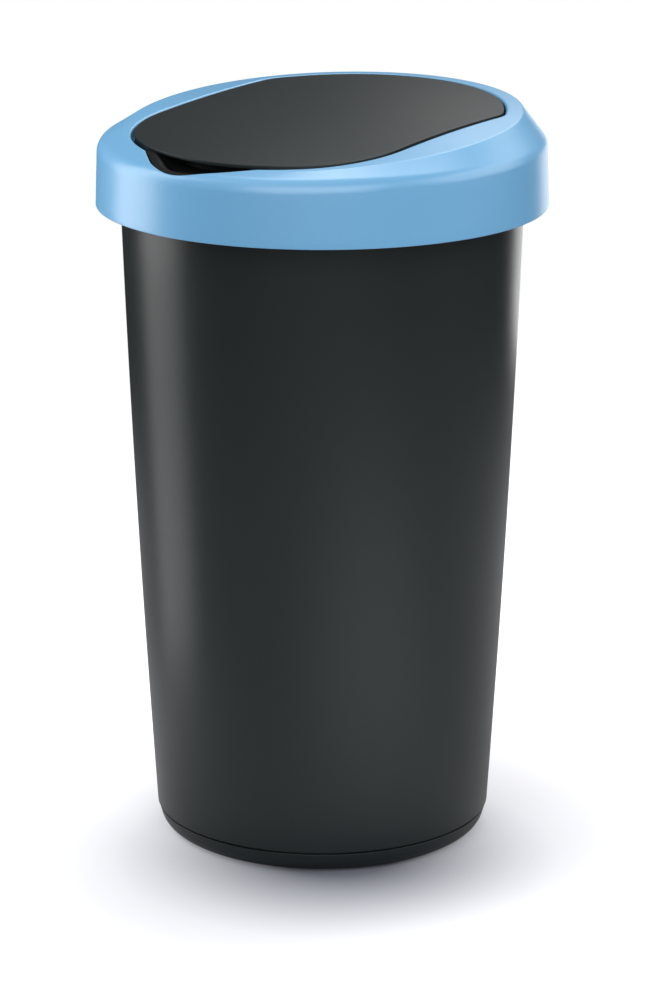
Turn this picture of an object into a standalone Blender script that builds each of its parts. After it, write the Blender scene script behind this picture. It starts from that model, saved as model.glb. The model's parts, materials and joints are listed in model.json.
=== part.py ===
"""A round swing-top waste bin: a tapered bin body, a lift-off lid ring and a flap that swings in it.

The bin stands on the floor at z = 0, centred on the Z axis. The front, where the finger
notch is, faces -Y, and the flap's hinge runs along X. Metres, +Z up.
"""

import math

import bmesh
import bpy
from mathutils import Matrix, Vector

# Size of the whole bin
LID_RADIUS = 0.200                 # outside of the lid skirt at its lower edge
RIM_HEIGHT = 0.6237                # floor to the top of the bin body's rim

# Lid ring, heights measured from the skirt's lower edge
LID_WALL = 0.0025
SKIRT_DRAFT = 0.0019               # how far the skirt leans in between its lower edge and the shoulder
SHOULDER_RISE = 0.0559             # height of the sharp shoulder corner before it is rounded
SHOULDER_FILLET = 0.0100
SEAT_RISE = 0.0472                 # height of the ledge that rests on the bin's rim
SEAT_WIDTH = 0.0070
SEAT_THICKNESS = 0.0040
CHAMFER_RUN = 0.0220               # plan width of the sloped band between shoulder and crease
CREASE_FILLET = 0.0060
CREASE_FILLET_REACH = 0.0060       # where the dome's last point before the crease lies
DOME_CENTRE_RISE = 0.0835
DOME_REAR_RISE = 0.0875            # height of the crease at the rear
DOME_FRONT_RISE = 0.0584
DOME_SIDE_RISE = 0.0753

# Opening in the lid ring
SIDE_BAND = 0.0362                 # crease to the opening's straight side, beside the hinge
REAR_BAND = 0.0152
FRONT_BAND = 0.0067
FRONT_CORNER_RADIUS = 0.0980
REAR_CORNER_RADIUS = 0.0300
OPENING_WALL = 0.0022              # thickness of the wall that turns down round the opening
NOTCH_EDGE_BAND = 0.0063           # shoulder corner to the front of the finger notch
NOTCH_RADIUS_SHARE = 0.311          # of the lid's radius
NOTCH_FLANK_DEG = 39.6
NOTCH_CORNER_RADIUS = 0.0030       # where the notch's flanks meet the opening's front

# Flap
SIDE_GAP = 0.0039                  # running gap to the opening at the sides
REAR_GAP = 0.0018
FRONT_GAP = 0.0081                 # wider gap in front, where the edge swings outwards as it lifts
FLAP_FRONT_BEND = 0.1800           # radius of the flap's front edge, flatter than the opening's
FLAP_DROP = 0.0008                 # how far the flap lies below the lid's surface
FLAP_THICKNESS = 0.0022
FLAP_RIM_DEPTH = 0.0100
FLAP_RIM_WALL = 0.0020
STUB_RADIUS = 0.0030               # hinge stubs moulded on the flap
STUB_CLEARANCE = 0.0003
BOSS_WALL = 0.0022
BOSS_LENGTH = 0.0048
HINGE_BEHIND_CENTRE = 0.0070       # the front half is the heavier one, so the flap shuts by itself
LUG_THICKNESS = 0.0022
LUG_REACH = 0.0100
LUG_WIDTH = 0.0200

# Finger tray under the flap's front edge
TRAY_GAP = 0.0018                  # to the walls of the notch
TRAY_HALF_WIDTH = 0.0680
TRAY_BACK_REACH = 0.0215           # how far it runs back under the flap's edge
TRAY_THICKNESS = 0.0018
TRAY_DEPTH = 0.0110
TRAY_FLANGE_SHARE = 0.14           # of the way from the tray's edge to its middle
TRAY_FLOOR_SHARE = 0.50            # of the way from its middle to its edge
TRAY_POCKET = 0.0002               # recess in the flap's underside that locates the flange

# Bin body
BIN_WALL = 0.0025
COLLAR_GAP = 0.0009                # rim bead to the inside of the lid skirt
BEAD_WIDTH = 0.0030
BEAD_HEIGHT = 0.0050
COLLAR_HEIGHT = 0.0357             # flare to rim top
FLARE_RISE = 0.0120
FLARE_RUN = 0.0140
WALL_FOOT_RADIUS = 0.1514
WALL_BOW = 0.0023                  # how far the wall bulges past a straight taper at mid height
PLINTH_HEIGHT = 0.0204
PLINTH_STEP = 0.0010               # the fine step where the wall ends above the plinth
PLINTH_TAPER = 0.0050
PLINTH_FILLET = 0.0150
FOOT_RING_WIDTH = 0.0150
FOOT_RING_HEIGHT = 0.0030

# Shared
SEAT_GAP = 0.0003                  # pieces that rest on each other
OVERRUN = 0.0100                   # how far cutters run past what they cut
MERGE_DISTANCE = 0.00001
SEGMENTS = 72
WALL_STEPS = 6
ARC_STEPS = 5
LAYER_SHARES = (0.3, 0.6, 0.85)    # of the crease's radius, where a domed layer has its rings

# Worked out from the sizes above
SKIRT_BOTTOM = RIM_HEIGHT + SEAT_GAP - SEAT_RISE
SHOULDER_RADIUS = LID_RADIUS - SKIRT_DRAFT
CREASE_RADIUS = SHOULDER_RADIUS - CHAMFER_RUN
NOTCH_RADIUS = NOTCH_RADIUS_SHARE * LID_RADIUS
OPENING_HALF_WIDTH = CREASE_RADIUS - SIDE_BAND
OPENING_REAR_RADIUS = CREASE_RADIUS - REAR_BAND
OPENING_FRONT_RADIUS = CREASE_RADIUS - FRONT_BAND
FLAP_HALF_WIDTH = OPENING_HALF_WIDTH - SIDE_GAP
FLAP_REAR_RADIUS = OPENING_REAR_RADIUS - REAR_GAP
FLAP_FRONT_REACH = OPENING_FRONT_RADIUS - FRONT_GAP
FLAP_FRONT_CENTRE = FLAP_FRONT_BEND - FLAP_FRONT_REACH
HINGE_DROP = FLAP_DROP + FLAP_RIM_DEPTH / 2
LUG_TOP_DROP = FLAP_DROP + FLAP_RIM_DEPTH + SEAT_GAP
OPENING_WALL_DEPTH = LUG_TOP_DROP + LUG_THICKNESS
BORE_RADIUS = STUB_RADIUS + STUB_CLEARANCE
SNAP_SLOT_WIDTH = 2 * STUB_RADIUS - 2 * STUB_CLEARANCE
TRAY_POCKET_DROP = FLAP_DROP + FLAP_THICKNESS - TRAY_POCKET
TRAY_TOP_DROP = TRAY_POCKET_DROP + SEAT_GAP
SKIRT_INNER_AT_SEAT = LID_RADIUS - SKIRT_DRAFT * SEAT_RISE / SHOULDER_RISE - LID_WALL
BEAD_RADIUS = SKIRT_INNER_AT_SEAT - COLLAR_GAP
COLLAR_RADIUS = BEAD_RADIUS - BEAD_WIDTH
WALL_TOP_RADIUS = COLLAR_RADIUS - FLARE_RUN
WALL_TOP_HEIGHT = RIM_HEIGHT - COLLAR_HEIGHT - FLARE_RISE


# Lid surface

def dome_rise(x, y):
    """Height of the lid's domed top above the skirt's lower edge."""
    tilt = (DOME_REAR_RISE - DOME_FRONT_RISE) / (2 * CREASE_RADIUS)
    bow_y = (DOME_CENTRE_RISE - (DOME_REAR_RISE + DOME_FRONT_RISE) / 2) / CREASE_RADIUS ** 2
    bow_x = (DOME_CENTRE_RISE - DOME_SIDE_RISE) / CREASE_RADIUS ** 2
    return DOME_CENTRE_RISE + tilt * y - bow_y * y * y - bow_x * x * x


def dome_height(x, y):
    return SKIRT_BOTTOM + dome_rise(x, y)


def lid_section(angle):
    """Outer line of the lid at one angle, as radius and height, from the centre out and down."""
    def on_dome(radius):
        return radius, dome_height(radius * math.cos(angle), radius * math.sin(angle))

    dome_shares = (0.25, 0.5, 0.75, 0.9)
    dome_points = [on_dome(share * CREASE_RADIUS) for share in dome_shares]
    dome_points.append(on_dome(CREASE_RADIUS - CREASE_FILLET_REACH))
    crease = on_dome(CREASE_RADIUS)
    shoulder = (SHOULDER_RADIUS, SKIRT_BOTTOM + SHOULDER_RISE)
    skirt_end = (LID_RADIUS, SKIRT_BOTTOM)
    rounded_crease = fillet(dome_points[-1], crease, shoulder, CREASE_FILLET)
    rounded_shoulder = fillet(crease, shoulder, skirt_end, SHOULDER_FILLET)
    return dome_points + rounded_crease + rounded_shoulder + [skirt_end]


# Plan outlines, as (x, y) points that run anticlockwise seen from above

def arc_points(centre, radius, start, end, steps):
    """Points on an arc from one angle to the other, both ends included."""
    angles = [start + (end - start) * step / steps for step in range(steps + 1)]
    return [(centre[0] + radius * math.cos(a), centre[1] + radius * math.sin(a)) for a in angles]


def front_corner(half_width, front_centre, front_radius):
    """Centre of the round front corner, tangent to the straight side and to the front arc."""
    across = half_width - FRONT_CORNER_RADIUS
    along = math.sqrt((front_radius - FRONT_CORNER_RADIUS) ** 2 - across ** 2)
    return across, front_centre - along


def panel_half(half_width, front_centre, front_radius, front_start, rear_radius, rear_corner_radius):
    """Right half of the opening or flap, from the front arc's given angle to the rear middle."""
    corner = front_corner(half_width, front_centre, front_radius)
    front_end = math.atan2(corner[1] - front_centre, corner[0])
    points = arc_points((0.0, front_centre), front_radius, front_start, front_end, ARC_STEPS)
    points += arc_points(corner, FRONT_CORNER_RADIUS, front_end, 0.0, ARC_STEPS)[1:]
    rear_corner_angle = math.acos(half_width / rear_radius)
    side_start = corner[1]
    side_end = rear_radius * math.sin(rear_corner_angle)
    points += [(half_width, side_start + (side_end - side_start) * step / WALL_STEPS)
               for step in range(1, WALL_STEPS)]
    rear = arc_points((0.0, 0.0), rear_radius, rear_corner_angle, math.pi / 2, 2 * ARC_STEPS)
    return points + fillet(points[-1], rear[0], rear[1], rear_corner_radius) + rear[1:]


def mirrored(half):
    """Close a right half, which runs from the front middle to the rear middle, with its mirror."""
    left = [(-x, y) for x, y in reversed(half[1:-1])]
    return half + left


def notch_half(edge_gap):
    """Right half of the finger notch from its front middle to where its flank leaves the notch.

    The flank runs tangent from the notch's front arc to the opening's front arc. Both arcs
    and the flank move in by edge_gap, which is zero for the opening itself.
    """
    flank = math.radians(NOTCH_FLANK_DEG)
    centre = (0.0, -(SHOULDER_RADIUS - NOTCH_EDGE_BAND - NOTCH_RADIUS))
    radius = NOTCH_RADIUS - edge_gap
    arc = arc_points(centre, radius, -math.pi / 2, -math.pi / 2 + flank, ARC_STEPS)
    start = Vector(arc[-1])
    direction = Vector((math.cos(flank), math.sin(flank)))
    target = OPENING_FRONT_RADIUS - edge_gap
    half_b = start.dot(direction)
    length = -half_b - math.sqrt(half_b ** 2 - (start.length_squared - target ** 2))
    return arc + [tuple(start + direction * length)]


def opening_outline():
    notch = notch_half(0.0)
    front_start = math.atan2(notch[-1][1], notch[-1][0])
    panel = panel_half(OPENING_HALF_WIDTH, 0.0, OPENING_FRONT_RADIUS, front_start,
                       OPENING_REAR_RADIUS, REAR_CORNER_RADIUS)
    corner = fillet(notch[-2], notch[-1], panel[1], NOTCH_CORNER_RADIUS)
    return mirrored(notch[:-1] + corner + panel[1:])


def flap_outline():
    return mirrored(panel_half(FLAP_HALF_WIDTH, FLAP_FRONT_CENTRE, FLAP_FRONT_BEND, -math.pi / 2,
                               FLAP_REAR_RADIUS, REAR_CORNER_RADIUS - REAR_GAP))


def tray_outline():
    front = [point for point in notch_half(TRAY_GAP) if point[0] < TRAY_HALF_WIDTH]
    front_reach = math.sqrt((OPENING_FRONT_RADIUS - TRAY_GAP) ** 2 - TRAY_HALF_WIDTH ** 2)
    front.append((TRAY_HALF_WIDTH, -front_reach))
    back_radius = FLAP_FRONT_REACH - TRAY_BACK_REACH
    back_end = -math.acos(TRAY_HALF_WIDTH / back_radius)
    back = arc_points((0.0, 0.0), back_radius, back_end, -math.pi / 2, ARC_STEPS)
    return mirrored(front + back)


def offset_loop(loop, distance):
    """Move a closed outline outwards, with mitred corners."""
    moved = []
    for i, point in enumerate(loop):
        before = (Vector(point) - Vector(loop[i - 1])).normalized()
        after = (Vector(loop[(i + 1) % len(loop)]) - Vector(point)).normalized()
        normal = Vector((before.y + after.y, -before.x - after.x)).normalized()
        cosine = normal.dot(Vector((after.y, -after.x)))
        moved.append(tuple(Vector(point) + normal * distance / cosine))
    return moved


# Lines in the radius and height plane

def fillet(before, corner, after, radius):
    """Round a corner of a line with an arc, and return the arc's points."""
    corner = Vector(corner)
    leg_in = (Vector(before) - corner).normalized()
    leg_out = (Vector(after) - corner).normalized()
    half = leg_in.angle(leg_out) / 2
    reach = radius / math.tan(half)
    centre = corner + (leg_in + leg_out).normalized() * (radius / math.sin(half))
    start = corner + leg_in * reach - centre
    end = corner + leg_out * reach - centre
    turn = math.atan2(start.x * end.y - start.y * end.x, start.dot(end))
    points = []
    for step in range(ARC_STEPS):
        angle = turn * step / (ARC_STEPS - 1)
        spoke = Vector((start.x * math.cos(angle) - start.y * math.sin(angle),
                        start.x * math.sin(angle) + start.y * math.cos(angle)))
        points.append(tuple(centre + spoke))
    return points


def offset_path(path, distance):
    """Move an open line to its right-hand side as it is walked, with mitred corners."""
    moved = []
    for i, point in enumerate(path):
        before = Vector(point) - Vector(path[max(i - 1, 0)])
        after = Vector(path[min(i + 1, len(path) - 1)]) - Vector(point)
        before = (before if before.length else after).normalized()
        after = (after if after.length else before).normalized()
        normal = Vector((before.y + after.y, -before.x - after.x)).normalized()
        cosine = normal.dot(Vector((after.y, -after.x)))
        moved.append(tuple(Vector(point) + normal * distance / cosine))
    return moved


# Objects

def clear_scene():
    for item in list(bpy.data.objects):
        bpy.data.objects.remove(item, do_unlink=True)


def collection(name):
    made = bpy.data.collections.new(name)
    bpy.context.scene.collection.children.link(made)
    return made


def plastic(name, colour, roughness):
    material = bpy.data.materials.new(name)
    material.use_nodes = True
    shader = material.node_tree.nodes["Principled BSDF"]
    shader.inputs["Base Color"].default_value = (*colour, 1.0)
    shader.inputs["Roughness"].default_value = roughness
    shader.inputs["Metallic"].default_value = 0.0
    material.diffuse_color = (*colour, 1.0)
    return material


def add_object(name, mesh, group):
    item = bpy.data.objects.new(name, mesh)
    group.objects.link(item)
    return item


def as_cutter(item):
    item.hide_render = True
    item.display_type = 'WIRE'
    return item


def stacked(name, top, rings, bottom, group):
    """Close a stack of outlines with a point at each end. The outlines run anticlockwise."""
    count = len(rings[0])
    vertices = [top] + [point for ring in rings for point in ring] + [bottom]
    last = len(vertices) - 1
    faces = []
    for i in range(count):
        j = (i + 1) % count
        faces.append((0, 1 + i, 1 + j))
        for level in range(len(rings) - 1):
            upper = 1 + level * count
            lower = upper + count
            faces.append((upper + i, lower + i, lower + j, upper + j))
        end = last - count
        faces.append((last, end + j, end + i))
    mesh = bpy.data.meshes.new(name)
    mesh.from_pydata(vertices, [], faces)
    mesh.shade_smooth()
    mesh.set_sharp_from_angle(angle=math.radians(30))
    return add_object(name, mesh, group)


def turned(name, profile, group):
    """Turn a line about Z. It runs from the axis or its inner side to its outer side, top to bottom."""
    mesh = bpy.data.meshes.new(name)
    edges = [(i, i + 1) for i in range(len(profile) - 1)]
    if profile[0][0] > 0:
        edges.append((len(profile) - 1, 0))
    mesh.from_pydata([(radius, 0.0, height) for radius, height in profile], edges, [])
    item = add_object(name, mesh, group)
    screw = item.modifiers.new("Turn", 'SCREW')
    screw.axis = 'Z'
    screw.steps = SEGMENTS
    screw.render_steps = SEGMENTS
    screw.use_merge_vertices = True
    screw.merge_threshold = MERGE_DISTANCE
    screw.use_smooth_shade = True
    return item


def prism(name, outline, low, high, group):
    """Extrude a plan outline between two heights."""
    curve = bpy.data.curves.new(name, 'CURVE')
    curve.dimensions = '2D'
    curve.fill_mode = 'BOTH'
    curve.extrude = (high - low) / 2
    spline = curve.splines.new('POLY')
    spline.points.add(len(outline) - 1)
    for point, (x, y) in zip(spline.points, outline):
        point.co = (x, y, 0.0, 1.0)
    spline.use_cyclic_u = True
    flat = add_object(name + "_outline", curve, group)
    flat.location.z = (low + high) / 2
    bpy.context.view_layer.update()
    evaluated = flat.evaluated_get(bpy.context.evaluated_depsgraph_get())
    mesh = bpy.data.meshes.new_from_object(evaluated)
    work = bmesh.new()
    work.from_mesh(mesh)
    bmesh.ops.remove_doubles(work, verts=work.verts, dist=MERGE_DISTANCE)
    bmesh.ops.recalc_face_normals(work, faces=work.faces)
    work.to_mesh(mesh)
    work.free()
    solid = add_object(name, mesh, group)
    solid.matrix_world = flat.matrix_world.copy()
    bpy.data.objects.remove(flat, do_unlink=True)
    return solid


def rod_along_x(name, radius, centre, length, group):
    mesh = bpy.data.meshes.new(name)
    work = bmesh.new()
    bmesh.ops.create_cone(work, cap_ends=True, segments=SEGMENTS // 3, radius1=radius,
                          radius2=radius, depth=length, matrix=Matrix.Rotation(math.pi / 2, 4, 'Y'))
    work.to_mesh(mesh)
    work.free()
    item = add_object(name, mesh, group)
    item.location = centre
    return item


def block(name, size, centre, turn, group):
    """A box of the given size, turned about Z."""
    mesh = bpy.data.meshes.new(name)
    work = bmesh.new()
    bmesh.ops.create_cube(work, size=1.0, matrix=Matrix.Diagonal((*size, 1.0)))
    work.to_mesh(mesh)
    work.free()
    item = add_object(name, mesh, group)
    item.location = centre
    item.rotation_euler.z = turn
    return item


def combine(item, operation, other):
    modifier = item.modifiers.new(other.name, 'BOOLEAN')
    modifier.operation = operation
    modifier.object = as_cutter(other)


def surface_layer(name, height_at, radii, top_drop, bottom_drop, group):
    """The layer between two copies of a domed surface, each lowered by its own drop."""
    def ring(radius, drop):
        points = []
        for step in range(SEGMENTS):
            angle = 2 * math.pi * (step + 0.5) / SEGMENTS
            x = radius * math.cos(angle)
            y = radius * math.sin(angle)
            points.append((x, y, height_at(x, y) - drop))
        return points

    middle = height_at(0.0, 0.0)
    rings = [ring(radius, top_drop) for radius in radii]
    rings += [ring(radius, bottom_drop) for radius in reversed(radii)]
    return stacked(name, (0.0, 0.0, middle - top_drop), rings, (0.0, 0.0, middle - bottom_drop), group)


def lid_height(x, y):
    """Height of the lid's top at a plan position inside the skirt, on the dome or beyond it."""
    radius = math.hypot(x, y)
    section = lid_section(math.atan2(y, x))
    for (inner, inner_height), (outer, outer_height) in zip(section, section[1:]):
        if inner <= radius <= outer:
            return inner_height + (outer_height - inner_height) * (radius - inner) / (outer - inner)
    return dome_height(x, y)


# Pieces

def bin_body_profile():
    """Outer line of the bin from its rim down to the floor, as radius and height."""
    rim = [(BEAD_RADIUS - BEAD_WIDTH / 3, RIM_HEIGHT),
           (BEAD_RADIUS, RIM_HEIGHT - BEAD_WIDTH / 3),
           (BEAD_RADIUS, RIM_HEIGHT - BEAD_HEIGHT),
           (COLLAR_RADIUS, RIM_HEIGHT - BEAD_HEIGHT - BEAD_WIDTH / 2),
           (COLLAR_RADIUS, RIM_HEIGHT - COLLAR_HEIGHT)]
    wall = []
    for step in range(WALL_STEPS + 1):
        share = step / WALL_STEPS
        straight = WALL_TOP_RADIUS + (WALL_FOOT_RADIUS - WALL_TOP_RADIUS) * share
        bulge = 4 * WALL_BOW * share * (1 - share)
        wall.append((straight + bulge, WALL_TOP_HEIGHT + (PLINTH_HEIGHT - WALL_TOP_HEIGHT) * share))
    plinth_top = (WALL_FOOT_RADIUS - PLINTH_STEP, PLINTH_HEIGHT)
    corner = (plinth_top[0] - PLINTH_TAPER, 0.0)
    base = fillet(plinth_top, corner, (0.0, 0.0), PLINTH_FILLET)
    return rim + wall + [plinth_top] + base


def make_bin_body(parts, material):
    outer = bin_body_profile()
    foot_radius = outer[-1][0]
    ring_inner = foot_radius - FOOT_RING_WIDTH
    recess_edge = ring_inner - FOOT_RING_HEIGHT
    outer += [(ring_inner, 0.0), (recess_edge, FOOT_RING_HEIGHT), (0.0, FOOT_RING_HEIGHT)]
    walls = outer[3:-1]
    inner = offset_path(walls, BIN_WALL)
    inner_top = (COLLAR_RADIUS - BIN_WALL, RIM_HEIGHT)
    floor_middle = (0.0, FOOT_RING_HEIGHT + BIN_WALL)
    inside = [floor_middle] + list(reversed(inner[:-1])) + [inner_top]
    body = turned("bin_body", inside + outer, parts)
    body.data.materials.append(material)
    return body


def make_lid_ring(parts, cutters, material, hinge):
    count = SEGMENTS
    sections = [lid_section(2 * math.pi * step / count) for step in range(count)]
    linings = [offset_path(section, LID_WALL) for section in sections]
    for lining in linings:
        lining[-1] = (lining[-1][0], SKIRT_BOTTOM)
    rings = []
    for level in range(len(sections[0])):
        rings.append([around(sections[i][level], i, count) for i in range(count)])
    for level in reversed(range(len(sections[0]))):
        rings.append([around(linings[i][level], i, count) for i in range(count)])
    top = (0.0, 0.0, dome_height(0.0, 0.0))
    bottom = (0.0, 0.0, dome_height(0.0, 0.0) - LID_WALL)
    ring = stacked("lid_ring", top, rings, bottom, parts)
    ring.data.materials.append(material)

    above = SKIRT_BOTTOM + DOME_REAR_RISE + OVERRUN
    below = SKIRT_BOTTOM
    outline = opening_outline()
    wall = prism("opening_wall", offset_loop(outline, OPENING_WALL), below, above, cutters)
    boss_centre = OPENING_HALF_WIDTH + BOSS_LENGTH / 2
    for side in (-1, 1):
        boss = rod_along_x(f"hinge_boss_{side}", BORE_RADIUS + BOSS_WALL,
                           (side * boss_centre, hinge.y, hinge.z),
                           BOSS_LENGTH + OPENING_WALL, cutters)
        combine(wall, 'UNION', boss)
    dome_radii = [share * CREASE_RADIUS for share in LAYER_SHARES]
    seat_outer = SKIRT_INNER_AT_SEAT + LID_WALL / 4
    shoulder_start = SHOULDER_RADIUS - SHOULDER_FILLET
    radii = dome_radii + [CREASE_RADIUS, shoulder_start, (shoulder_start + seat_outer) / 2, seat_outer]
    under = surface_layer("under_lid", lid_height, radii, LID_WALL / 2, OPENING_WALL_DEPTH, cutters)
    combine(wall, 'INTERSECT', under)
    seat_bottom = SKIRT_BOTTOM + SEAT_RISE
    groove_inner = COLLAR_RADIUS - BIN_WALL - COLLAR_GAP
    groove_top = seat_bottom + SEAT_THICKNESS / 2
    groove = turned("rim_groove", [(groove_inner, groove_top), (LID_RADIUS, groove_top),
                                   (LID_RADIUS, below), (groove_inner, below)], cutters)
    combine(wall, 'DIFFERENCE', groove)
    combine(ring, 'UNION', wall)

    seat_inner = SKIRT_INNER_AT_SEAT - SEAT_WIDTH
    seat_top = seat_bottom + SEAT_THICKNESS
    seat = turned("seat_ledge", [(seat_inner, seat_top), (seat_outer, seat_top),
                                 (seat_outer, seat_bottom), (seat_inner, seat_bottom)], cutters)
    combine(ring, 'UNION', seat)
    combine(ring, 'DIFFERENCE', prism("opening_cut", outline, below - OVERRUN, above, cutters))

    for side in (-1, 1):
        bore_length = BOSS_LENGTH + OPENING_WALL + 2 * OVERRUN
        centre = Vector((side * boss_centre, hinge.y, hinge.z))
        combine(ring, 'DIFFERENCE', rod_along_x(f"hinge_bore_{side}", BORE_RADIUS, centre,
                                                bore_length, cutters))
        slot_centre = centre - Vector((0.0, 0.0, OPENING_WALL_DEPTH / 2))
        slot = block(f"snap_slot_{side}", (bore_length, SNAP_SLOT_WIDTH, OPENING_WALL_DEPTH),
                     slot_centre, 0.0, cutters)
        combine(ring, 'DIFFERENCE', slot)

    corner = front_corner(OPENING_HALF_WIDTH, 0.0, OPENING_FRONT_RADIUS)
    corner_angle = math.atan2(corner[1], corner[0]) / 2
    lug_height = 2 * OPENING_WALL_DEPTH
    for side in (-1, 1):
        edge = Vector((corner[0] + FRONT_CORNER_RADIUS * math.cos(corner_angle),
                       corner[1] + FRONT_CORNER_RADIUS * math.sin(corner_angle)))
        inward = edge - (LUG_REACH - OPENING_WALL) / 2 * Vector((math.cos(corner_angle),
                                                                 math.sin(corner_angle)))
        turn = corner_angle if side > 0 else math.pi - corner_angle
        lug = block(f"stop_lug_{side}", (LUG_REACH, LUG_WIDTH, lug_height),
                    (side * inward.x, inward.y, dome_height(*edge) - LUG_TOP_DROP), turn, cutters)
        layer = surface_layer(f"lug_layer_{side}", dome_height, dome_radii + [CREASE_RADIUS],
                              LUG_TOP_DROP, OPENING_WALL_DEPTH - SEAT_GAP, cutters)
        combine(lug, 'INTERSECT', layer)
        combine(ring, 'UNION', lug)
    return ring


def around(point, step, count):
    """Turn a radius and height into a place in space at one step round the bin."""
    angle = 2 * math.pi * step / count
    return point[0] * math.cos(angle), point[0] * math.sin(angle), point[1]


def scaled_ring(outline, centre, share, drop):
    """An outline shrunk towards a plan centre and laid on the dome, lowered by the drop."""
    points = []
    for x, y in outline:
        px = centre[0] + (x - centre[0]) * share
        py = centre[1] + (y - centre[1]) * share
        points.append((px, py, dome_height(px, py) - drop))
    return points


def make_flap_panel(parts, cutters, material, hinge):
    outline = flap_outline()
    inner = offset_loop(outline, -FLAP_RIM_WALL)
    middle = (0.0, 0.0)
    shares = (0.25, 0.5, 0.75, 0.92)
    under_drop = FLAP_DROP + FLAP_THICKNESS
    rim_drop = FLAP_DROP + FLAP_RIM_DEPTH
    rings = [scaled_ring(outline, middle, share, FLAP_DROP) for share in shares + (1.0,)]
    rings.append(scaled_ring(outline, middle, 1.0, rim_drop))
    rings.append(scaled_ring(inner, middle, 1.0, rim_drop))
    rings.append(scaled_ring(inner, middle, 1.0, under_drop))
    rings += [scaled_ring(inner, middle, share, under_drop) for share in reversed(shares)]
    top = (0.0, 0.0, dome_height(0.0, 0.0) - FLAP_DROP)
    bottom = (0.0, 0.0, dome_height(0.0, 0.0) - under_drop)
    panel = stacked("flap_panel", top, rings, bottom, parts)
    panel.data.materials.append(material)

    for side in (-1, 1):
        inside = FLAP_HALF_WIDTH - FLAP_RIM_WALL
        outside = OPENING_HALF_WIDTH + BOSS_LENGTH
        stub = rod_along_x(f"hinge_stub_{side}", STUB_RADIUS,
                           (side * (inside + outside) / 2, hinge.y, hinge.z), outside - inside, cutters)
        combine(panel, 'UNION', stub)

    pocket = prism("tray_pocket", offset_loop(tray_outline(), TRAY_GAP / 2), SKIRT_BOTTOM,
                   SKIRT_BOTTOM + DOME_REAR_RISE, cutters)
    radii = [share * CREASE_RADIUS for share in LAYER_SHARES] + [CREASE_RADIUS, LID_RADIUS]
    layer = surface_layer("pocket_layer", dome_height, radii, TRAY_POCKET_DROP,
                          rim_drop + OVERRUN, cutters)
    combine(pocket, 'INTERSECT', layer)
    combine(panel, 'DIFFERENCE', pocket)
    return panel


def make_finger_tray(parts, material):
    outline = tray_outline()
    front = min(y for _, y in outline)
    back = max(y for _, y in outline)
    middle = (0.0, (front + back) / 2)

    def sink(share):
        """Depth below the flange at a share of the way out from the tray's middle."""
        slope = 1.0 - TRAY_FLANGE_SHARE - share
        blend = min(max(slope / (1.0 - TRAY_FLANGE_SHARE - TRAY_FLOOR_SHARE), 0.0), 1.0)
        return TRAY_DEPTH * blend * blend * (3 - 2 * blend)

    shares = (0.35, 0.5, 0.6, 0.7, 0.8, 1.0 - TRAY_FLANGE_SHARE, 1.0)
    rings = [scaled_ring(outline, middle, share, TRAY_TOP_DROP + sink(share)) for share in shares]
    rings += [scaled_ring(outline, middle, share, TRAY_TOP_DROP + TRAY_THICKNESS + sink(share))
              for share in reversed(shares)]
    floor = dome_height(*middle) - TRAY_TOP_DROP - TRAY_DEPTH
    tray = stacked("finger_tray", (*middle, floor), rings, (*middle, floor - TRAY_THICKNESS), parts)
    tray.data.materials.append(material)
    return tray


def hang_on(item, empty):
    """Move the piece's origin to the empty's place and make it the empty's child."""
    place = empty.matrix_world.translation
    item.data.transform(Matrix.Translation(-place))
    item.parent = empty


def main():
    clear_scene()
    parts = collection("swing_top_waste_bin")
    cutters = collection("cutters")
    dark = plastic("charcoal_plastic", (0.036, 0.041, 0.043), 0.42)
    dark_flap = plastic("charcoal_flap_plastic", (0.036, 0.041, 0.043), 0.45)
    dark_tray = plastic("charcoal_tray_plastic", (0.030, 0.034, 0.036), 0.50)
    blue = plastic("light_blue_plastic", (0.156, 0.402, 0.665), 0.38)

    hinge = Vector((0.0, HINGE_BEHIND_CENTRE,
                    dome_height(OPENING_HALF_WIDTH, HINGE_BEHIND_CENTRE) - HINGE_DROP))
    make_bin_body(parts, dark)
    ring = make_lid_ring(parts, cutters, blue, hinge)
    panel = make_flap_panel(parts, cutters, dark_flap, hinge)
    tray = make_finger_tray(parts, dark_tray)

    lid_frame = add_object("lid_frame", None, parts)
    lid_frame.location = (0.0, 0.0, SKIRT_BOTTOM + SEAT_RISE)
    flap_axis = add_object("flap_axis", None, parts)
    flap_axis.parent = lid_frame
    flap_axis.location = hinge - lid_frame.location
    bpy.context.view_layer.update()
    hang_on(ring, lid_frame)
    hang_on(panel, flap_axis)
    hang_on(tray, flap_axis)


main()
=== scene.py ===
import json
import math

import bmesh
import bpy
from mathutils import Matrix, Vector


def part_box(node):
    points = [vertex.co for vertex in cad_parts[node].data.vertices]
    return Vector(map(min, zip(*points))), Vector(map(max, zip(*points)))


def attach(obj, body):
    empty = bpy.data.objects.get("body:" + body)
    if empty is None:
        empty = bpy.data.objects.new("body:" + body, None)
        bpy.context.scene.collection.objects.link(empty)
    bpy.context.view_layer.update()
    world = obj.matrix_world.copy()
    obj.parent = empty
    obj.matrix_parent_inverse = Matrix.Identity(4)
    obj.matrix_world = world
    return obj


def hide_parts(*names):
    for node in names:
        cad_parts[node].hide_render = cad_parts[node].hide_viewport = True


# Looks of the swing-top waste bin: fine moulded surfaces, plastics, studio light and camera.
# Metres, +Z up. The front, where the finger notch is, faces -Y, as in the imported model.

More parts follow.
